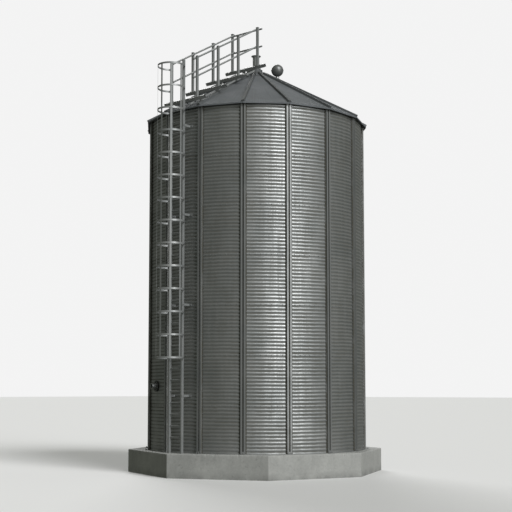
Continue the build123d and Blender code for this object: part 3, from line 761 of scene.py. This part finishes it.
def wall_sheet(bay, rows, columns, sheet, hole=0.0):
    """One closed corrugated panel, with a round hole for the port if a size is given.

    The waves run out under the posts, where the sheet's edges lie flat against them.
    """
    half_gap = 0.0015
    edge = HALF_BAY - degrees(half_gap / WALL_RADIUS)
    flange_edge = HALF_BAY - degrees(POST_FLANGE_EDGE / WALL_RADIUS)
    angles = [-edge, *spread(-flange_edge, flange_edge, columns - 1), edge]
    directions = [outward(bay * BAY_ANGLE + angle) for angle in angles]
    flat_radius = WALL_RADIUS - sheet.lap_step
    points = []
    for inset in (0.0, sheet.thickness):
        for height, radius in rows:
            for angle, direction in zip(angles, directions):
                reach = (flat_radius if abs(angle) == edge else radius) - inset
                points.append((direction.x * reach, direction.y * reach, height))
    width = columns + 1
    skin = len(rows) * width
    centre = outward(PORT_AZIMUTH) * WALL_RADIUS + upright(PORT_HEIGHT)

    def kept(row, column):
        if not (0 <= row < len(rows) - 1 and 0 <= column < columns):
            return False
        if not hole:
            return True
        corner = Vector(points[row * width + column])
        opposite = Vector(points[(row + 1) * width + column + 1])
        return ((corner + opposite) / 2 - centre).length > hole

    faces = []
    for row in range(len(rows) - 1):
        for column in range(columns):
            if not kept(row, column):
                continue
            a = row * width + column
            b, c, d = a + 1, a + width + 1, a + width
            faces.append((a, b, c, d))
            faces.append((d + skin, c + skin, b + skin, a + skin))
            sides = (
                (row - 1, column, b, a), (row + 1, column, d, c),
                (row, column - 1, a, d), (row, column + 1, c, b),
            )
            for next_row, next_column, start, end in sides:
                if not kept(next_row, next_column):
                    faces.append((start, end, end + skin, start + skin))
    shape = Shape()
    shape.add(points, faces)
    return shape


class SILO_OT_wall(Operator):
    """Makes the corrugated wall panels, lapped tier over tier"""

    bl_idname = "silo.wall"
    bl_label = "Corrugated wall"

    def execute(self, context):
        sheet = context.scene.silo_sheet
        rows = wave_rows(sheet)
        port_bay = round(PORT_AZIMUTH / BAY_ANGLE) % BAY_COUNT
        port_hole_radius = 0.105
        for bay in range(BAY_COUNT):
            columns, hole = (24, port_hole_radius) if bay == port_bay else (6, 0.0)
            number = f"{bay + 1:02d}"
            shape = wall_sheet(bay, rows, columns, sheet, hole)
            shape.piece(f"wall_sheet_{number}", "wall_zinc", "wall_sheet", [f"wall_panel_{number}"])
        return {"FINISHED"}


class SILO_OT_wall_bolts(Operator):
    """Bolts the laps of the wall panels, tier by tier"""

    bl_idname = "silo.wall_bolts"
    bl_label = "Wall bolts"

    def execute(self, context):
        sheet = context.scene.silo_sheet
        waves, pitch = fitted_waves(sheet)
        face = WALL_RADIUS - sheet.lap_step
        bolt_places = spread(-0.36, 0.36, 7)
        shape = Shape()
        for tier in range(1, ceil(waves / sheet.tier_waves)):
            height = WALL_BOTTOM + (tier * sheet.tier_waves - 1) * pitch
            for bay in range(BAY_COUNT):
                for place in bolt_places:
                    azimuth = (bay + place) * BAY_ANGLE
                    shape.add_bolt(beside(azimuth, face, 0, height), outward(azimuth), WALL_BOLT, tier)
        shape.piece("wall_bolts", "bolt_zinc", "wall_sheet")
        return {"FINISHED"}


class SILO_OT_posts(Operator):
    """Finishes the base ring, the posts and their shoes, and bolts posts and shoes"""

    bl_idname = "silo.posts"
    bl_label = "Posts and feet"

    def execute(self, context):
        dress("post_zinc", "stiffener_posts")
        dress("structure_zinc", "base_ring", "anchor_shoes")
        self.bolt_flanges(context.scene.silo_sheet)
        self.bolt_shoes()
        return {"FINISHED"}

    def bolt_flanges(self, sheet):
        """Bolts both flanges of each post at every second wave."""
        face = WALL_RADIUS + POST_FLANGE_FACE
        waves, pitch = fitted_waves(sheet)
        shape = Shape()
        for azimuth in JOINT_AZIMUTHS:
            for side in (-POST_FLANGE_MIDDLE, POST_FLANGE_MIDDLE):
                for wave in range(1, waves, 2):
                    point = beside(azimuth, face, side, WALL_BOTTOM + wave * pitch)
                    shape.add_bolt(point, outward(azimuth), POST_BOLT, 0.7 * wave)
        shape.piece("post_bolts", "bolt_zinc", "post_steel")

    def bolt_shoes(self):
        """Anchors each shoe's foot to the concrete with two studs and their nuts."""
        edge_distance = 0.035
        half_spacing = 0.035
        stud_height = 0.036
        stud = turned([(0.007, 0), (0.007, stud_height - 0.002), (0.0055, stud_height)], 8)
        foot_top = BASE_HEIGHT + SHOE_FOOT_THICKNESS
        shape = Shape()
        for azimuth in JOINT_AZIMUTHS:
            for side in (-half_spacing, half_spacing):
                floor = beside(azimuth, SHOE_REACH - edge_distance, side, foot_top)
                shape.add_bolt(floor, upright(1), ANCHOR_BOLT, azimuth)
                shape.add(*stud, seated(floor, upright(1)))
        shape.piece("anchor_bolts", "bolt_zinc", "structure_steel")


def worn_outline(spacing, corner_round):
    """Points round the octagon of the concrete base, with its corners rounded."""
    arc_reach = -BASE_LOW.y - corner_round
    arc_centres = [outward(45 * k) * arc_reach for k in range(8)]
    points = []
    for k, (centre, next_centre) in enumerate(zip(arc_centres, arc_centres[1:] + arc_centres[:1])):
        points.extend(centre + outward(45 * k + turn) * corner_round for turn in (-22.5, -11.25, 0, 11.25))
        side_normal = outward(45 * k + 22.5) * corner_round
        count = ceil((next_centre - centre).length / spacing)
        points.extend(centre.lerp(next_centre, step / count) + side_normal for step in range(count))
    return points


def worn(point, inset):
    """Moves a point of the concrete in by a little unevenness, and by a chip near the edge."""
    worn_width, chip_reach, chip_depth = 0.1, 0.05, 0.03
    if point.z < 0.001 or inset > worn_width:
        return point
    uneven = 0.0015 * (1 + noise.noise(point * 6))
    edge_distance = hypot(inset, BASE_HEIGHT - point.z)
    chipped = max(0.0, noise.noise(point * 7) + 0.35 * noise.noise(point * 19) - 0.3)
    chip = chip_depth * chipped * max(0.0, 1 - edge_distance / chip_reach)
    inward = -Vector((point.x, point.y, 0)).normalized()
    return point + inward * (uneven + chip) - upright(chip + 0.2 * uneven)


class SILO_OT_concrete(Operator):
    """Casts the concrete base, with worn edges and an uneven face"""

    bl_idname = "silo.concrete"
    bl_label = "Concrete base"

    def execute(self, context):
        edge_round = 0.02
        outline = worn_outline(0.016, edge_round)
        shoulder = BASE_HEIGHT - edge_round
        turns = [radians(angle) for angle in (22.5, 45, 67.5, 90)]
        rows = [(0.0, height) for height in spread(0, shoulder, 15)]
        rows += [
            (edge_round * (1 - cos(turn)), BASE_HEIGHT - edge_round * (1 - sin(turn))) for turn in turns
        ]
        rows += [(inset, BASE_HEIGHT) for inset in (0.035, 0.055, 0.08, 0.11, 0.15)]
        points = [
            worn(point - point.normalized() * inset + upright(height), inset)
            for inset, height in rows
            for point in outline
        ]
        sides = len(outline)
        faces = wrapped(len(rows), sides)
        middle = len(points)
        last = middle - sides
        points.extend([upright(BASE_HEIGHT), upright(0)])
        for k in range(sides):
            faces.append((last + k, last + (k + 1) % sides, middle))
            faces.append(((k + 1) % sides, k, middle + 1))
        shape = Shape()
        shape.add(points, faces)
        shape.piece("cast_base", "cast_concrete", "concrete", ["concrete_base"], smooth=0.6)
        return {"FINISHED"}


class SILO_OT_roof(Operator):
    """Finishes the roof panels and the ribs, and screws the panels down"""

    bl_idname = "silo.roof"
    bl_label = "Roof"

    def execute(self, context):
        dress("roof_zinc", "roof_front_right", "roof_back_right", "roof_back_left", "roof_front_left")
        dress("rib_zinc", "roof_ribs")
        rib_clearance = 0.016
        lowest_radius, highest_radius, rib_screws = EAVE_RADIUS - 0.16, 0.62, 9
        eave_row, eave_reach, eave_screws = EAVE_RADIUS * HALF_BAY_COS - 0.03, 0.42, 5
        shape = Shape()
        for azimuth in (bay * BAY_ANGLE for bay in range(BAY_COUNT)):
            for radius in spread(lowest_radius, highest_radius, rib_screws):
                reach = radius * tan(radians(HALF_BAY)) - RIB_HALF_WIDTH - rib_clearance
                for side in (-reach, reach):
                    point = on_roof(azimuth, radius, side)
                    shape.add_bolt(point, roof_normal(azimuth), ROOF_SCREW, radius)
            for side in spread(-eave_reach, eave_reach, eave_screws):
                shape.add_bolt(on_roof(azimuth, eave_row, side), roof_normal(azimuth), ROOF_SCREW, side)
        shape.piece("roof_screws", "screw_zinc", "roof_sheet")
        return {"FINISHED"}


class SILO_OT_peak(Operator):
    """Finishes the cap, the spout, the lugs and the vent, with a round vent ball"""

    bl_idname = "silo.peak"
    bl_label = "Peak"

    def execute(self, context):
        dress("rib_zinc", "peak_cap")
        dress("spout_zinc", "filling_spout")
        dress("structure_zinc", "lifting_lugs")
        dress("vent_zinc", "vent_base", "vent_legs")
        centre = (BALL_LOW + BALL_HIGH) / 2
        radius = (BALL_HIGH.z - BALL_LOW.z) / 2
        seam_radius, half_seam = radius + 0.003, 0.012
        seam_screws = 12
        lower = [radians(angle) for angle in spread(-89, -degrees(asin(half_seam / radius)), 16)]
        profile = [(radius * cos(angle), radius * sin(angle)) for angle in lower]
        profile += [(seam_radius, -half_seam), (seam_radius, half_seam)]
        profile += [(radius * cos(angle), -radius * sin(angle)) for angle in reversed(lower)]
        shape = Shape()
        shape.add(*turned(profile, 48), Matrix.Translation(centre))
        for step in range(seam_screws):
            side = outward(360 * (step + 0.5) / seam_screws)
            shape.add_bolt(centre + side * seam_radius, side, BALL_SCREW)
        shape.piece("round_ball", "vent_zinc", "vent_steel", ["vent_ball"], smooth=0.5)
        return {"FINISHED"}


class SILO_OT_ladder(Operator):
    """Finishes the rails, the brackets and the cage's strips, makes grooved rungs and bolts the brackets"""

    bl_idname = "silo.ladder"
    bl_label = "Ladder"

    def execute(self, context):
        dress("ladder_zinc", "ladder_rails", "ladder_brackets", "cage_strips")
        self.make_rungs()
        self.bolt_brackets()
        return {"FINISHED"}

    def make_rungs(self):
        """Round rungs with grip rings."""
        radius = (RUNG_HIGH.y - RUNG_LOW.y) / 2
        half = RUNG_HIGH.x
        rings, plain_end, groove = 20, 0.03, 0.0016
        ring_pitch = 2 * (half - plain_end) / rings
        profile = [(radius, -half), (radius, plain_end - half)]
        for ring in range(rings):
            start = plain_end - half + ring * ring_pitch
            profile += [
                (radius - groove, start + 0.15 * ring_pitch),
                (radius - groove, start + 0.45 * ring_pitch),
                (radius, start + 0.6 * ring_pitch),
                (radius, start + ring_pitch),
            ]
        profile.append((radius, half))
        rung = turned(profile, 12)
        shape = Shape()
        for step in range(round((RUNG_HIGH.z - RUNG_LOW.z) / RUNG_PITCH) + 1):
            point = Vector((0, RAIL_Y, RUNG_LOW.z + radius + step * RUNG_PITCH))
            shape.add(*rung, seated(point, (1, 0, 0)))
        shape.piece("grip_rungs", "ladder_zinc", "ladder_steel", ["ladder_rungs"], smooth=0.6)

    def bolt_brackets(self):
        """Bolts each bracket to the rail and to the wall."""
        top = BRACKET_HIGH.z - BRACKET_HEIGHT / 2
        bottom = BRACKET_LOW.z + BRACKET_HEIGHT / 2
        pad_edge_distance = 0.04
        pad_azimuth = degrees(asin((BRACKET_HIGH.x - pad_edge_distance) / WALL_RADIUS))
        shape = Shape()
        for height in spread(bottom, top, BRACKET_COUNT):
            for side in (-1, 1):
                facing = outward(side * pad_azimuth)
                pad = facing * (WALL_RADIUS + BRACKET_THICKNESS) + upright(height)
                shape.add_bolt(pad, facing, BRACKET_WALL_BOLT)
                for along in (-0.02, 0.02):
                    arm = Vector((side * (RAIL_HIGH.x + BRACKET_THICKNESS), RAIL_Y + along, height))
                    shape.add_bolt(arm, (side, 0, 0), BRACKET_RAIL_BOLT, along)
        shape.piece("bracket_bolts", "bolt_zinc", "ladder_steel")


class SILO_OT_cage(Operator):
    """Makes the cage's hoops round and bolts them to the strips and the rails"""

    bl_idname = "silo.cage"
    bl_label = "Ladder cage"

    def execute(self, context):
        middle_radius = HOOP_RADIUS - HOOP_THICKNESS / 2
        reach = degrees(asin((RAIL_Y - HOOP_CENTRE_Y) / middle_radius)) + 90
        centre = Vector((0, HOOP_CENTRE_Y, 0))
        arc = [centre + outward(angle) * middle_radius for angle in spread(-reach, reach, 61)]
        ends = [Vector((side * RAIL_HIGH.x, RAIL_Y, 0)) for side in (-1, 1)]
        hoop = bent_bar([ends[0], *arc, ends[1]], HOOP_HEIGHT, HOOP_THICKNESS, 0.001)
        strip_face_radius = HOOP_RADIUS - 0.0145
        rail_bolt_x, rail_bolt_y = RAIL_HIGH.x + 0.012, RAIL_Y - HOOP_THICKNESS / 2
        hoops, bolts = Shape(), Shape()
        for height in spread(HOOP_LOW.z + HOOP_HEIGHT / 2, HOOP_HIGH.z - HOOP_HEIGHT / 2, HOOP_COUNT):
            hoops.add(*hoop, Matrix.Translation((0, 0, height)))
            for angle in spread(-90, 90, STRIP_COUNT):
                point = centre + outward(angle) * strip_face_radius + upright(height)
                bolts.add_bolt(point, -outward(angle), HOOP_BOLT, angle + height)
            for side in (-1, 1):
                point = Vector((side * rail_bolt_x, rail_bolt_y, height))
                bolts.add_bolt(point, (0, -1, 0), HOOP_BOLT, height)
        hoops.piece(
            "round_hoops", "ladder_zinc", "ladder_steel",
            ["cage_hoops_front", "cage_hoops_right", "cage_hoops_left"],
        )
        bolts.piece("cage_bolts", "bolt_zinc", "ladder_steel")
        return {"FINISHED"}


class SILO_OT_stair(Operator):
    """Finishes the roof stair and its handrails, with punched treads, clamps and bolts"""

    bl_idname = "silo.stair"
    bl_label = "Roof stair"

    def execute(self, context):
        dress(
            "stair_zinc", "stair_bearers", "stair_stringers", "handrail_posts",
            "handrails_left", "handrails_right", "end_rails",
        )
        self.make_treads()
        self.make_clamps()
        self.bolt_feet()
        return {"FINISHED"}

    def make_treads(self):
        """Folded treads with two rows of raised rings."""
        width = TREAD_HIGH.x - TREAD_LOW.x
        run = (TREAD_HIGH.y - TREAD_LOW.y - TREAD_DEPTH) / (TREAD_COUNT - 1)
        ring_room, ring_sink, row_offset, end_margin, row_rings = 0.0015, 0.0004, 0.019, 0.03, 16
        ring = turned([(0.0135, 0.0), (0.0115, 0.0028), (0.0085, 0.0028), (0.0075, 0.0)], 14, ring=True)
        plate = block(width, TREAD_DEPTH, TREAD_SHEET)
        lip = block(width, TREAD_SHEET, TREAD_LIP - TREAD_SHEET)
        shape = Shape()
        for step in range(TREAD_COUNT):
            back = TREAD_HIGH.y - step * run
            middle = back - TREAD_DEPTH / 2
            top = TREAD_HIGH.z - step * run * FACET_RISE - ring_room
            shape.add(*plate, Matrix.Translation((0, middle, top - TREAD_SHEET / 2)))
            lip_y = back - TREAD_DEPTH + TREAD_SHEET / 2
            shape.add(*lip, Matrix.Translation((0, lip_y, top - (TREAD_LIP + TREAD_SHEET) / 2)))
            for row in (-row_offset, row_offset):
                for across in spread(end_margin - width / 2, width / 2 - end_margin, row_rings):
                    shape.add(*ring, Matrix.Translation((across, middle + row, top - ring_sink)))
        shape.piece("punched_treads", "stair_zinc", "stair_steel", ["stair_treads"])

    def make_clamps(self):
        """Bands that hold the handrails to the posts."""
        outer, half_width = HANDRAIL_RADIUS + 0.0035, 0.016
        outline = [
            (outer, -half_width), (outer, half_width),
            (HANDRAIL_RADIUS, half_width), (HANDRAIL_RADIUS, -half_width),
        ]
        band = turned(outline, 24, ring=True)
        slope = Vector((0, cos(FACET_PITCH), sin(FACET_PITCH)))
        post_height = HANDRAIL_POST_HIGH.z - on_roof(0, HANDRAIL_POST_RADII[-1]).z
        rail_x = HANDRAIL_SIDE - HANDRAIL_RADIUS
        shape = Shape()
        for radius in HANDRAIL_POST_RADII:
            for drop in HANDRAIL_DROPS:
                for side in (-1, 1):
                    centre = Vector((side * rail_x, -radius, on_roof(0, radius).z + post_height - drop))
                    shape.add(*band, seated(centre, slope))
                    point = centre - Vector((side * (HANDRAIL_RADIUS + 0.003), 0, 0))
                    shape.add_bolt(point, (-side, 0, 0), CLAMP_BOLT, radius)
        shape.piece("rail_clamps", "stair_zinc", "stair_steel")

    def bolt_feet(self):
        """Bolts the bearers down on both sides of the handrail posts."""
        top_y = BEARER_HALF_WIDTH * cos(FACET_PITCH) - HANDRAIL_POST_RADII[-1]
        bearer_rise = BEARER_TOP - (PEAK_HEIGHT + top_y * FACET_RISE)
        post_x = (HANDRAIL_POST_HIGH.x + HANDRAIL_SIDE) / 2
        shape = Shape()
        for radius in HANDRAIL_POST_RADII:
            height = on_roof(0, radius).z + bearer_rise
            for side in (-1, 1):
                for across in (0.075, -0.075):
                    point = Vector((side * (post_x + across), -radius, height))
                    shape.add_bolt(point, roof_normal(0), BEARER_BOLT, radius)
        shape.piece("stair_bolts", "bolt_zinc", "stair_steel")


class SILO_OT_port(Operator):
    """Finishes the outlet port and clamps its ring"""

    bl_idname = "silo.port"
    bl_label = "Outlet port"

    def execute(self, context):
        dress("sealing_rubber", "port_flange")
        dress("spout_zinc", "port_tube")
        inner, outer, sink, face = 0.104, 0.142, -0.002, 0.004
        ring = turned([(outer, sink), (outer, face), (inner, face), (inner, sink)], 48, ring=True)
        bolt_circle, bolt_count = (inner + outer) / 2, 8
        facing = outward(PORT_AZIMUTH)
        place = seated(facing * (WALL_RADIUS + PORT_FLANGE_THICKNESS) + upright(PORT_HEIGHT), facing)
        shape = Shape()
        shape.add(*ring, place)
        for step in range(bolt_count):
            angle = 2 * pi * (step + 0.5) / bolt_count
            point = place @ Vector((bolt_circle * cos(angle), bolt_circle * sin(angle), face))
            shape.add_bolt(point, facing, PORT_BOLT, angle)
        shape.piece("port_clamp", "port_steel", "port_rubber")
        return {"FINISHED"}


class SILO_OT_stage(Operator):
    """Makes the floor, the lights, the world and the camera"""

    bl_idname = "silo.stage"
    bl_label = "Stage"

    def execute(self, context):
        stage = context.scene.silo_stage
        self.make_floor()
        self.make_world(context.scene, stage)
        low_elevation, back_azimuth, back_elevation = radians(8), radians(232), radians(30)
        self.make_sun("key_light", stage.key_azimuth, stage.key_elevation, stage.key_power, width=24)
        self.make_sun("low_light", stage.key_azimuth, low_elevation, stage.low_power, width=16)
        self.make_sun("back_light", back_azimuth, back_elevation, stage.fill_power, width=30)
        self.make_camera(context.scene, stage)
        context.scene.view_settings.view_transform = "Standard"
        return {"FINISHED"}

    def make_floor(self):
        """A pale floor that takes shadows and gives no light back."""
        half = 300
        mesh = bpy.data.meshes.new("floor")
        corners = [(-half, -half, 0), (half, -half, 0), (half, half, 0), (-half, half, 0)]
        mesh.from_pydata(corners, [], [(0, 1, 2, 3)])
        floor = add_object("floor", mesh)
        material = bpy.data.materials.new("floor_paint")
        material.use_nodes = True
        sockets = material.node_tree.nodes["Principled BSDF"].inputs
        sockets["Base Color"].default_value = (0.8, 0.8, 0.8, 1)
        sockets["Roughness"].default_value = 1.0
        mesh.materials.append(material)
        floor.visible_diffuse = False
        floor.visible_glossy = False

    def make_world(self, scene, stage):
        """Even light, and a pale backdrop where the camera sees it."""
        world = bpy.data.worlds.new("studio")
        world.use_nodes = True
        tree = world.node_tree
        tree.nodes.clear()
        even = {"Color": (0.96, 1, 0.87, 1), "Strength": stage.sky_light}
        pale = {"Color": (0.9, 0.9, 0.9, 1), "Strength": 1.0}
        light, backdrop = (wire(tree, "ShaderNodeBackground", inputs).outputs[0] for inputs in (even, pale))
        seen = wire(tree, "ShaderNodeLightPath").outputs["Is Camera Ray"]
        mixed = wire(tree, "ShaderNodeMixShader", {0: seen, 1: light, 2: backdrop})
        wire(tree, "ShaderNodeOutputWorld", {"Surface": mixed.outputs[0]})
        scene.world = world

    def make_sun(self, name, azimuth, elevation, power, width):
        """A far light that shines on the silo. Width is how wide it looks, in degrees."""
        light = bpy.data.lights.new(name, "SUN")
        light.energy = power
        light.angle = radians(width)
        lamp = add_object(name, light)
        towards = outward(degrees(azimuth)) * cos(elevation) + upright(sin(elevation))
        lamp.location = towards * 40
        lamp.rotation_euler = towards.to_track_quat("Z", "Y").to_euler()

    def make_camera(self, scene, stage):
        """A camera at the photograph's place, aimed at the silo's axis."""
        data = bpy.data.cameras.new("camera")
        data.lens = stage.camera_lens
        data.shift_y = stage.camera_shift
        data.clip_end = 1000
        camera = add_object("camera", data)
        away = outward(degrees(stage.camera_azimuth))
        camera.location = away * stage.camera_distance + upright(stage.camera_height)
        aim = -away * cos(stage.camera_pitch) + upright(sin(stage.camera_pitch))
        camera.rotation_euler = aim.to_track_quat("-Z", "Y").to_euler()
        scene.camera = camera


class SILO_PT_panel(Panel):
    """Lists the silo's operators and settings"""

    bl_idname = "SILO_PT_panel"
    bl_label = "Grain silo"
    bl_space_type = "VIEW_3D"
    bl_region_type = "UI"
    bl_category = "Silo"

    def draw(self, context):
        for operator in OPERATORS:
            self.layout.operator(operator.bl_idname)
        for settings in (context.scene.silo_sheet, context.scene.silo_finish, context.scene.silo_stage):
            column = self.layout.column()
            for key in settings.bl_rna.properties.keys():
                if key not in ("rna_type", "name"):
                    column.prop(settings, key)


SETTINGS = (SheetSettings, FinishSettings, StageSettings)
OPERATORS = (
    SILO_OT_finishes, SILO_OT_wall, SILO_OT_wall_bolts, SILO_OT_posts, SILO_OT_concrete, SILO_OT_roof,
    SILO_OT_peak, SILO_OT_ladder, SILO_OT_cage, SILO_OT_stair, SILO_OT_port, SILO_OT_stage,
)


def register():
    """Registers the classes and hangs the settings on the scene."""
    for kind in (*SETTINGS, *OPERATORS, SILO_PT_panel):
        bpy.utils.register_class(kind)
    bpy.types.Scene.silo_sheet = PointerProperty(type=SheetSettings)
    bpy.types.Scene.silo_finish = PointerProperty(type=FinishSettings)
    bpy.types.Scene.silo_stage = PointerProperty(type=StageSettings)


def unregister():
    """Takes the settings and the classes away again."""
    del bpy.types.Scene.silo_stage
    del bpy.types.Scene.silo_finish
    del bpy.types.Scene.silo_sheet
    for kind in reversed((*SETTINGS, *OPERATORS, SILO_PT_panel)):
        bpy.utils.unregister_class(kind)


def main():
    register()
    bpy.ops.silo.finishes()
    bpy.ops.silo.wall()
    bpy.ops.silo.wall_bolts()
    bpy.ops.silo.posts()
    bpy.ops.silo.concrete()
    bpy.ops.silo.roof()
    bpy.ops.silo.peak()
    bpy.ops.silo.ladder()
    bpy.ops.silo.cage()
    bpy.ops.silo.stair()
    bpy.ops.silo.port()
    bpy.ops.silo.stage()


if __name__ == "__main__":
    main()
